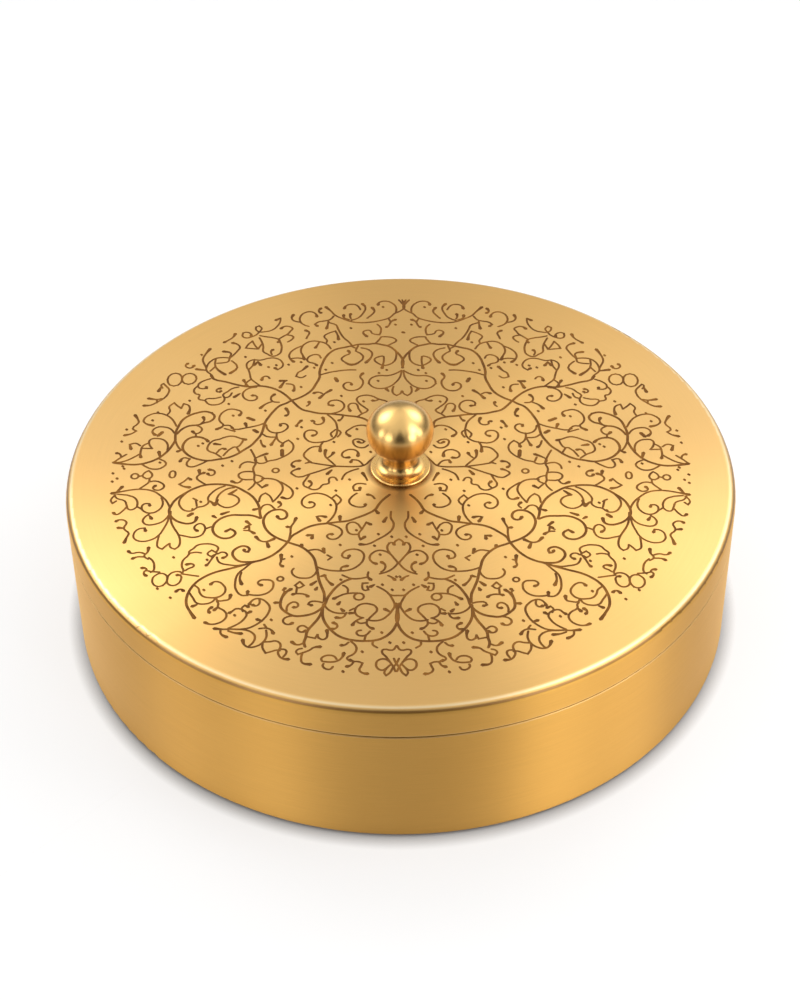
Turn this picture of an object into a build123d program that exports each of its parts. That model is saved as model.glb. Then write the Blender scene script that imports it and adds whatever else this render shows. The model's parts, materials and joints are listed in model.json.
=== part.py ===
from build123d import *
import math
import os

# A round brass spice box: a spun pan with a lid that lifts off, seven bowls inside, and a spoon.
# Millimetres, +Z up, standing on its foot, with the origin at the middle of the foot.

# The box as seen from outside
box_diameter = 200.0
seam_height = 40.8  # where the lid's skirt meets the pan's wall
lid_depth = 10.4  # the lid's height outside, from the seam to its flat top
sheet = 1.2  # the brass that the pan and the lid are spun from
lid_shoulder = 2.5  # outside radius of the lid's top edge
pan_corner = 2.2  # outside radius of the pan's bottom edge
seam_bevel = 0.4  # broken edge on both sides of the seam

# The foot: the floor is raised a little inside a flat ring
foot_width = 7.5  # flat ring that the box stands on
floor_rise = 0.8
rise_run = 2.0  # the slope between the ring and the raised floor

# The collar soldered inside the pan, which guides the lid
collar_sheet = 0.8
collar_low = 29.0  # height of its lower edge
collar_stand = 7.2  # how far it stands above the seam
collar_lead = 0.3  # bevel on its upper edge
lid_fit = 0.25  # all round, between the collar and the lid's skirt

# The bowls: six in a ring round a seventh
ring_bowls = 6
bowl_height = 32.0
bowl_sheet = 0.8
bowl_base_radius = 25.0
bowl_corner = 4.5  # outside radius of a bowl's bottom edge
bead_radius = 1.1  # the rolled rim
bead_lip = 0.15  # how far the roll stands inside the wall
bowl_gap = 1.0  # between two rims
collar_gap = 2.0  # between a rim and the collar

# The knob, with the plate under it and its screw
plate_radius = 9.1
plate_thickness = 1.1
plate_edge = 0.45
foot_radius = 7.3
foot_band = 0.5  # the foot's upright edge
waist_radius = 4.4
waist_height = 3.2  # from the knob's foot to its narrowest place
ball_radius = 10.0
ball_crown = 8.3  # half height above the ball's widest place
ball_belly = 9.3  # half height below it
ball_height = 13.8  # from the knob's foot to its widest place
throat_radius = 4.9  # where the ball meets the waist
screw_radius = 2.0
screw_engagement = 8.0
screw_play = 0.1  # round the shank, in the lid, the plate and the knob
hole_spare = 1.0  # depth of the knob's hole beyond the screw's end
head_radius = 3.9
head_height = 2.2
head_round = 0.6
slot_width = 1.0
slot_depth = 1.1
washer_radius = 6.0
washer_thickness = 0.8

# The spoon, which leans inside the first bowl of the ring
spoon_bowl_radius = 9.0
spoon_bowl_depth = 3.4
spoon_sheet = 0.9
handle_length = 49.0  # from the middle of the spoon's bowl to its tip
handle_neck = 4.2  # width beside the spoon's bowl
handle_tip = 7.6  # width near the tip
handle_crank = 3.6  # how far the tip stands above the spoon's rim
spoon_drop = 2.0  # the tip stays this far below the rim of its bowl
spoon_rest = 0.2  # under the spoon and behind its tip
spoon_clear = 3.0  # at least this much floor is left beyond the spoon's bowl

# Sizes that follow from those above
outer_radius = box_diameter / 2
inner_radius = outer_radius - sheet
lid_top = seam_height + lid_depth
lid_underside = lid_top - sheet
pan_floor = floor_rise + sheet
raised_radius = outer_radius - pan_corner - foot_width - rise_run
collar_outer = inner_radius - lid_fit
collar_inner = collar_outer - collar_sheet
rim_radius = (collar_inner - collar_gap - bowl_gap) / 3
bowl_pitch = 2 * rim_radius + bowl_gap
plate_top = lid_top + plate_thickness
bowl_inner_floor = pan_floor + bowl_sheet
bowl_inner_top = rim_radius - 2 * bead_radius + bead_lip
bead_height = pan_floor + bowl_height - bead_radius  # the middle of the roll


def turned(corners):
    """A solid turned about the upright axis. Each corner is (radius, height, rounding)."""
    places = [(radius, height) for radius, height, _ in corners]
    roundings = [rounding for _, _, rounding in corners]
    outline = FilletPolyline(*places, radius=roundings, close=True)
    return revolve(Plane.XZ * make_face(outline), Axis.Z)


def base_pan():
    """The pan: an upright wall, a flat ring to stand on, and a floor raised inside it."""
    ring_inner = raised_radius + rise_run
    return turned(
        [
            (0, floor_rise, 0),
            (raised_radius, floor_rise, sheet),
            (ring_inner, 0, sheet),
            (outer_radius, 0, pan_corner),
            (outer_radius, seam_height - seam_bevel, 0),
            (outer_radius - seam_bevel, seam_height, 0),
            (inner_radius, seam_height, 0),
            (inner_radius, sheet, pan_corner - sheet),
            (ring_inner, sheet, sheet),
            (raised_radius, pan_floor, sheet),
            (0, pan_floor, 0),
        ]
    )


def base_collar():
    """The guide ring: its lower part lies against the pan's wall, its upper part clears the skirt."""
    collar_top = seam_height + collar_stand
    return turned(
        [
            (collar_inner, collar_low + collar_sheet / 2, 0),
            (inner_radius - collar_sheet / 2, collar_low, 0),
            (inner_radius, collar_low + collar_sheet / 2, 0),
            (inner_radius, seam_height - lid_fit, 0),
            (collar_outer, seam_height, 0),
            (collar_outer, collar_top - collar_lead, 0),
            (collar_outer - collar_lead, collar_top, 0),
            (collar_inner, collar_top, 0),
        ]
    )


def lid_cap():
    """The lid: a flat top, a tight shoulder and a skirt that stands on the pan's wall."""
    hole = screw_radius + screw_play
    return turned(
        [
            (hole, lid_underside, 0),
            (inner_radius, lid_underside, lid_shoulder - sheet),
            (inner_radius, seam_height, 0),
            (outer_radius - seam_bevel, seam_height, 0),
            (outer_radius, seam_height + seam_bevel, 0),
            (outer_radius, lid_top, lid_shoulder),
            (hole, lid_top, 0),
        ]
    )


def knob_plate():
    """The round plate between the knob and the lid."""
    hole = screw_radius + screw_play
    return turned(
        [
            (hole, lid_top, 0),
            (plate_radius, lid_top, 0),
            (plate_radius, plate_top, plate_edge),
            (hole, plate_top, 0),
        ]
    )


def knob():
    """The turned knob: a foot, a cove up to the waist, and a ball a little flatter on top."""
    band_top = plate_top + foot_band
    waist = plate_top + waist_height
    middle = plate_top + ball_height
    throat_angle = math.degrees(math.acos(throat_radius / ball_radius))
    belly = EllipticalCenterArc((0, middle), ball_radius, ball_belly, -throat_angle, arc_size=throat_angle)
    pull = 4 / 3 * (math.sqrt(2) - 1)  # makes a Bezier curve a quarter of an ellipse
    crown = Bezier(
        (ball_radius, middle),
        (ball_radius, middle + pull * ball_crown),
        (pull * ball_radius, middle + ball_crown),
        (0, middle + ball_crown),
    )
    cove_width = foot_radius - waist_radius
    cove = EllipticalCenterArc((foot_radius, waist), cove_width, waist - band_top, 180, arc_size=90)
    throat = TangentArc((waist_radius, waist), belly @ 0, tangent=(0, 1))
    hole_radius = screw_radius + screw_play
    hole_end = plate_top + screw_engagement + hole_spare
    foot = Polyline(
        (0, middle + ball_crown),
        (0, hole_end + hole_radius / 2),
        (hole_radius, hole_end),
        (hole_radius, plate_top),
        (foot_radius, plate_top),
        (foot_radius, band_top),
    )
    return revolve(Plane.XZ * make_face([foot, cove, throat, belly, crown]), Axis.Z)


def knob_washer():
    """The plain washer that spreads the screw's pull under the lid."""
    hole = screw_radius + screw_play
    under = lid_underside - washer_thickness
    return turned(
        [
            (hole, under, 0),
            (washer_radius, under, 0),
            (washer_radius, lid_underside, 0),
            (hole, lid_underside, 0),
        ]
    )


def knob_screw():
    """The slotted screw, its head under the washer and its end in the knob."""
    seat = lid_underside - washer_thickness
    screw = turned(
        [
            (0, seat - head_height, 0),
            (head_radius, seat - head_height, head_round),
            (head_radius, seat, 0),
            (screw_radius, seat, 0),
            (screw_radius, plate_top + screw_engagement - screw_radius / 4, 0),
            (screw_radius * 3 / 4, plate_top + screw_engagement, 0),
            (0, plate_top + screw_engagement, 0),
        ]
    )
    slot = Pos(0, 0, seat - head_height) * Box(
        2 * washer_radius, slot_width, 2 * slot_depth
    )
    return screw - slot


def bowl_profile():
    """Half the section of a bowl: a flat base, a flared wall and a rim rolled outwards."""
    outline = FilletPolyline(
        (0, pan_floor),
        (bowl_base_radius, pan_floor),
        (bowl_inner_top + bowl_sheet, bead_height),
        (bowl_inner_top, bead_height),
        (bowl_base_radius - bowl_sheet, bowl_inner_floor),
        (0, bowl_inner_floor),
        radius=[0, bowl_corner, 0, 0, bowl_corner - bowl_sheet, 0],
        close=True,
    )
    bead = Pos(rim_radius - bead_radius, bead_height) * Circle(bead_radius)
    return make_face(outline) + bead


def bowl_places():
    """The middle of every bowl, with its name."""
    places = {"bowl_centre": (0, 0)}
    for i in range(ring_bowls):
        angle = math.radians(90 + i * 360 / ring_bowls)
        places[f"bowl_{i + 1}"] = (bowl_pitch * math.cos(angle), bowl_pitch * math.sin(angle))
    return places


def bowl(place):
    """One bowl, standing on the pan's floor."""
    return Pos(*place) * revolve(Plane.XZ * bowl_profile(), Axis.Z)


def spoon_flat():
    """The spoon lying flat: the middle of its bowl's rim at the origin, the handle along +X."""
    ball = (spoon_bowl_radius**2 + spoon_bowl_depth**2) / (2 * spoon_bowl_depth)
    middle = Pos(0, 0, ball - spoon_bowl_depth)
    dish = middle * (Sphere(ball) - Sphere(ball - spoon_sheet))
    dish = dish & Pos(0, 0, -ball) * Box(4 * ball, 4 * ball, 2 * ball)
    start = spoon_bowl_radius - spoon_sheet
    rise = Spline((start, 0), (handle_length, handle_crank), tangents=[(1, 0.35), (1, 0.02)])
    under = Pos(0, -spoon_sheet) * rise
    ends = [Line(rise @ 0, under @ 0), Line(rise @ 1, under @ 1)]
    side = extrude(Plane.XZ * make_face([rise, under] + ends), handle_tip, both=True)
    tip_middle = handle_length - handle_tip / 2
    blade = make_hull(
        (Pos(start, 0) * Circle(handle_neck / 2) + Pos(tip_middle, 0) * Circle(handle_tip / 2)).edges()
    )
    plan = extrude(Plane.XY.offset(-spoon_bowl_depth) * blade, 2 * spoon_bowl_depth + handle_crank)
    return dish + (side & plan), ball


def spoon_place(lean, ball):
    """Where the spoon's rim has its middle, when it leans with its tip against the cup's wall."""
    flare = (bowl_inner_top - bowl_base_radius + bowl_sheet) / (bead_height - bowl_inner_floor)
    curve_centre = ball - spoon_bowl_depth  # the dish's centre of curvature above its rim
    place_z = bowl_inner_floor + spoon_rest + ball - curve_centre * math.cos(lean)
    tip_height = place_z + handle_length * math.sin(lean) + handle_crank * math.cos(lean)
    wall = bowl_inner_top - (bead_height - tip_height) * flare
    behind = spoon_rest + wall - math.sqrt(wall**2 - (handle_tip / 2) ** 2)
    tip_reach = handle_length * math.cos(lean) - (handle_crank - spoon_sheet) * math.sin(lean)
    return wall - behind - tip_reach, place_z


def spoon():
    """The spoon in its place: its bowl on the floor of the cup, its tip against the cup's wall."""
    flat, ball = spoon_flat()
    climb = pan_floor + bowl_height - spoon_drop - bowl_inner_floor - spoon_rest - ball
    drop = ball - spoon_bowl_depth - handle_crank
    lean = math.asin(climb / math.hypot(handle_length, drop)) + math.atan2(drop, handle_length)
    far_side = bowl_base_radius - bowl_sheet - spoon_clear
    while spoon_bowl_radius * math.cos(lean) - spoon_place(lean, ball)[0] > far_side:
        lean += math.radians(0.25)  # a longer spoon stands steeper
    place_x, place_z = spoon_place(lean, ball)
    x, y = bowl_places()["bowl_1"]
    return Pos(x + place_x, y, place_z) * Rot(0, -math.degrees(lean), 0) * flat


def write(name, solid):
    """Writes one piece to its own file."""
    solid.label = name
    export_step(solid, f"parts/{name}.step")


os.makedirs("parts", exist_ok=True)
write("base_pan", base_pan())
write("base_collar", base_collar())
write("lid_cap", lid_cap())
write("knob_plate", knob_plate())
write("knob", knob())
write("knob_washer", knob_washer())
write("knob_screw", knob_screw())
for bowl_name, bowl_place in bowl_places().items():
    write(bowl_name, bowl(bowl_place))
write("spoon", spoon())
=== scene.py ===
"""Looks of the brass spice box: an engraved lid, a brushed pan, a polished knob, and bowls inside."""

import json
import math

import bpy
from mathutils import Matrix, Vector

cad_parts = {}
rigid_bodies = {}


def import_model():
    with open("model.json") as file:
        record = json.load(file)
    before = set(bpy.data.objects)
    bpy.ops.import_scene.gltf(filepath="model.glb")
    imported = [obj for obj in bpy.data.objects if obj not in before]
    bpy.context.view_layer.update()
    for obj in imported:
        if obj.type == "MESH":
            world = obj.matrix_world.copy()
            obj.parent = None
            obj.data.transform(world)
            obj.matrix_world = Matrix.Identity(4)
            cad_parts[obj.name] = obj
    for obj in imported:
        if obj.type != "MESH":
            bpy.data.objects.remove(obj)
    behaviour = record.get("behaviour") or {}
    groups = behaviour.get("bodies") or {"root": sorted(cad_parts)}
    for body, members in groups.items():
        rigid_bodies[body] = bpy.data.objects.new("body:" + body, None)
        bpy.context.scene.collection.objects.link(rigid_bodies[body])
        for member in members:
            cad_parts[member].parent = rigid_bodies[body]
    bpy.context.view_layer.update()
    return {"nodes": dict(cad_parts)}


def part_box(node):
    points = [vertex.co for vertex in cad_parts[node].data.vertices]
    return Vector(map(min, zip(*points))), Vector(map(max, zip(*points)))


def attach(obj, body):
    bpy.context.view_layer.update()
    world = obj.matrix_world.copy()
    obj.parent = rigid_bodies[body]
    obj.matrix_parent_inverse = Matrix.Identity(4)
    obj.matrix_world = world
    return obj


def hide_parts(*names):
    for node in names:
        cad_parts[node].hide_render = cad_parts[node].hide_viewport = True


MM = 0.001

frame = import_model()
nodes = frame["nodes"]
bpy.ops.object.select_all(action="DESELECT")

LID_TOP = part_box("lid_cap")[1].z

# The scrolls on the lid. Each stroke is cut with a graver through the points given here, in millimetres
# from the knob, +y away from the front, and ends with a semicolon. A star is a drop, where the graver is
# pushed in deeper. An o is a small ring: its middle, then how far it reaches sideways and away. Only the
# right half is drawn: it is turned over for the left half, and then the whole drawing is turned a little.
FINE_CUT = 0.36
VINE_CUT = 0.44
DROP_CUT = 0.64
STROKE_TIP = 0.15
RUN_OUT = 0.8  # how far a cut runs out past its last point, in half widths
DRAWING_TURN = math.radians(-1.2)
CLOSE_CUTS = 0.9
SHARP_CORNER = math.radians(80)
GROOVE_DEPTH = 0.4  # a cut's depth as a share of its half width
# Pushes that follow each other stand at slightly different heights, so that no two faces lie in one plane.
EVEN_PUSH = 0.02
ODD_PUSH = 0.05

VINES = """
.1,49.5 -.2,52.9 .6,55.4 2.2,58.2 4.3,60.7 6.8,61.7 9,62.3 11.3,61.9 13.8,61.9 16.3,61.1 18.8,60.2 21.3,59.3
22.9,57.9 24.4,55.4 25.5,51.7 26.2,47.6 26.1,44.6 27.1,41.2 28.3,38 30.3,35.5 32.8,33.6 34.3,32.8 35.9,31.4
37.8,30.2 39.5,27.7 40.7,25.2 41.9,22 42.3,19 42.9,15.8 44.3,12.9 45.5,10.8 47.4,8.8 49.9,6.3 52.8,4.7
54.9,4.2 58.2,3.5 60.3,3.9 63.2,5.2 65.2,7.2 66.2,9.2 65.9,12.2 64.2,14.4 62.2,14.8 59.8,13.9 58.7,12.6*;
60.5,45.5 59.4,43.6 55.6,42.2 51.9,40.7 48.2,39.7 45.1,40.1 41.8,39.5 39,38 36.5,35.7 34.3,32.8 32.8,30.6
30.8,28.3 28.3,27.3 25.8,26.5 22.5,26.2 19.3,25.8 16.4,25.2 13.9,24.8 11.4,23.7 10.2,22.5 9.8,20.6; 3,-11.9
4.9,-14.2 6.3,-16.7 7.2,-18.7 9.6,-20.7 12.5,-22.4 15,-23.7 17.9,-24.2 20.7,-24.8 24,-25.4 26.5,-26.5
29,-28.5 31.2,-30.7 31.8,-32.2 33.3,-35.1 35.4,-37.9 37.9,-40 40.8,-41.3 43.7,-41.6 45.6,-41.2 47.2,-39.6
47.7,-37.5 46.3,-35.4 44.5,-34.8 43,-35.9 43.3,-37.3 44.2,-37.1 44.5,-36.3*; 20.6,-57.9 20.7,-54.7 21.5,-52
22.4,-49 22.9,-46.1 23.5,-42.9 24.2,-40 25.9,-37.2 28.3,-34.9 30.8,-33.7 32.9,-32.6 35.3,-31.2 37.8,-28.9
39.4,-25.6 39.6,-22.7 38.1,-19.8 36,-18.8 33.9,-19.2 32.9,-21.1 33.5,-22.7 35,-22.9 35.8,-21.7*; 40.4,-22.5
40.8,-21.1 41.3,-17.7 42.2,-15.3 43.7,-12.8 46.4,-10.3 49.2,-8.4 52.1,-7.6 55.1,-7.4 58,-7.8 61.3,-9.5
63.8,-11.7 65.9,-14 67.1,-16.5 67.7,-19.3 67.2,-21.4 65.6,-23.5 63.6,-24.7 61.5,-25.1 59.8,-24.3
59.3,-22.2*; 40.6,-22.7 43,-21.5 46.5,-21.3 49,-21.3 51.5,-22.3 53.2,-23.9 54.2,-26.4 53.9,-28.9 52.2,-30.9
49.9,-31.5 47.9,-30.3 47.6,-28.7 49.1,-27.4 50.4,-28.5*; 40.8,-41.3 44.8,-43.1 48.3,-44.5 51.8,-45.8
54.8,-47.7 57.3,-50.4 58.7,-53.4 59.3,-56.3 59.1,-59.3 58,-61.8 56.4,-64.7*; 68.8,13 69,17.1 68.3,20.4
67.3,23.3 65.4,25.3 63.3,26.5 60.8,27.2 58.7,26.5 57.7,24.7 58.9,22.4 60.8,21.6 62.5,20.6 65,20.2 67.1,18.7
68.6,16.2; 68.8,13 69.9,9.7 71.4,6.8 73.5,4.3 76.4,2.5 78.9,1.7 82.3,1.7 86.5,2.6*; -.4,-58.5 -.1,-61
-.3,-64.4 .4,-67.4 1.5,-69.8 3.2,-71.8 5.5,-73.1 8,-73.5 11,-73.4 13.4,-72.9 15.9,-71.7 17.9,-69.7
19.5,-67.3 20.6,-64.6 20.9,-61.9 20.8,-59.4; 13.2,-48.4 15.4,-49.7 17.1,-51.5 18.6,-54 19.7,-56.4 20.3,-58.9
21.1,-60.4 21.9,-61.4 23.7,-62.8 26.2,-63.6 28.7,-63.7 31.2,-62.1 32.6,-60.2 32.8,-58.2 32.4,-55.9
31.6,-54*; 20.7,-58.9 21.2,-62.4 22.3,-65.3 23.8,-67.8 24.8,-69.8 25.1,-72.2 25.5,-74.2 25.1,-75.9;
"""
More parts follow.
